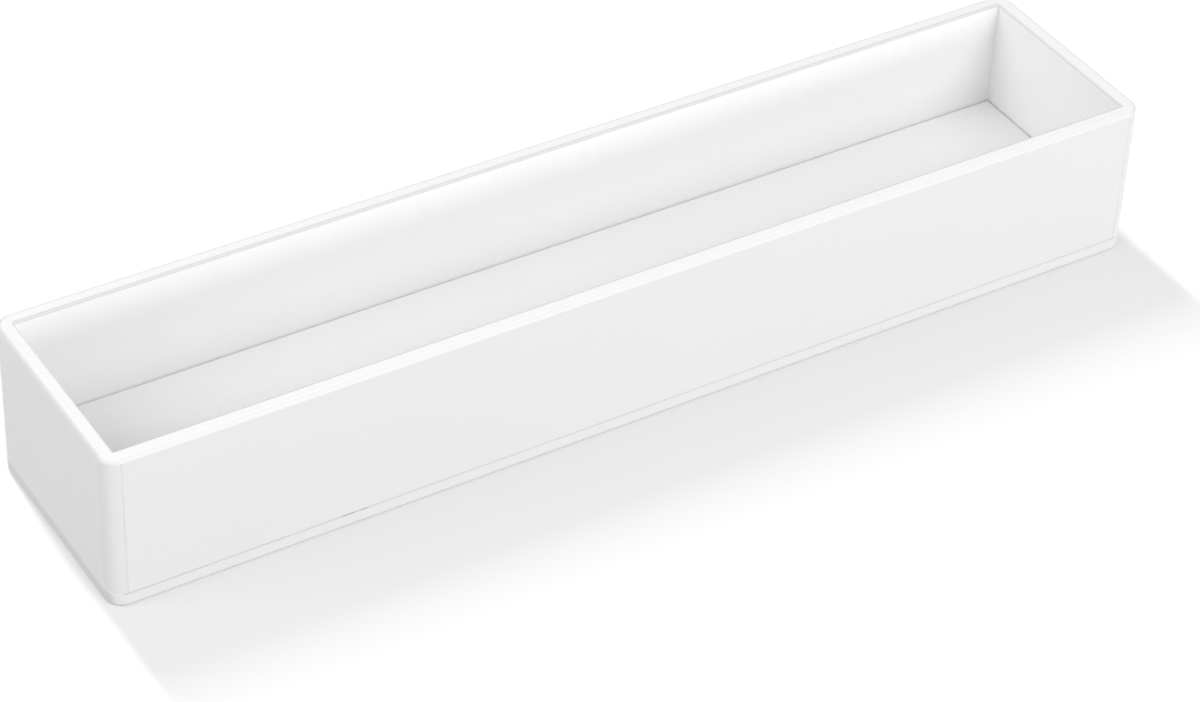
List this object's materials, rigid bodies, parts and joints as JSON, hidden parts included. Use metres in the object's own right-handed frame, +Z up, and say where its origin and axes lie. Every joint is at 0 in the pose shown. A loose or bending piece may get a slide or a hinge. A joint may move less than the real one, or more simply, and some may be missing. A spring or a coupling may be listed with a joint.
{
  "type": "toothbrush tray",
  "caption": "Long open tray of white acrylic sheet for a toothbrush, with butt-jointed walls on a base sheet, rounded corners and a raised inner floor.",
  "frame": {"origin": "middle of the underside, on the surface that the tray stands on", "axes": "+X along the tray, +Y from the long front wall to the back wall, +Z up"},
  "size_m": [0.22, 0.046, 0.033],
  "materials": {
    "white_acrylic": "satin gloss, opaque white"
  },
  "bodies": {
    "root": {"base_sheet": "white_acrylic", "left_end_panel": "white_acrylic", "right_end_panel": "white_acrylic", "front_panel": "white_acrylic", "back_panel": "white_acrylic", "front_floor_rail": "white_acrylic", "back_floor_rail": "white_acrylic", "floor_sheet": "white_acrylic"}
  },
  "joints": []
}
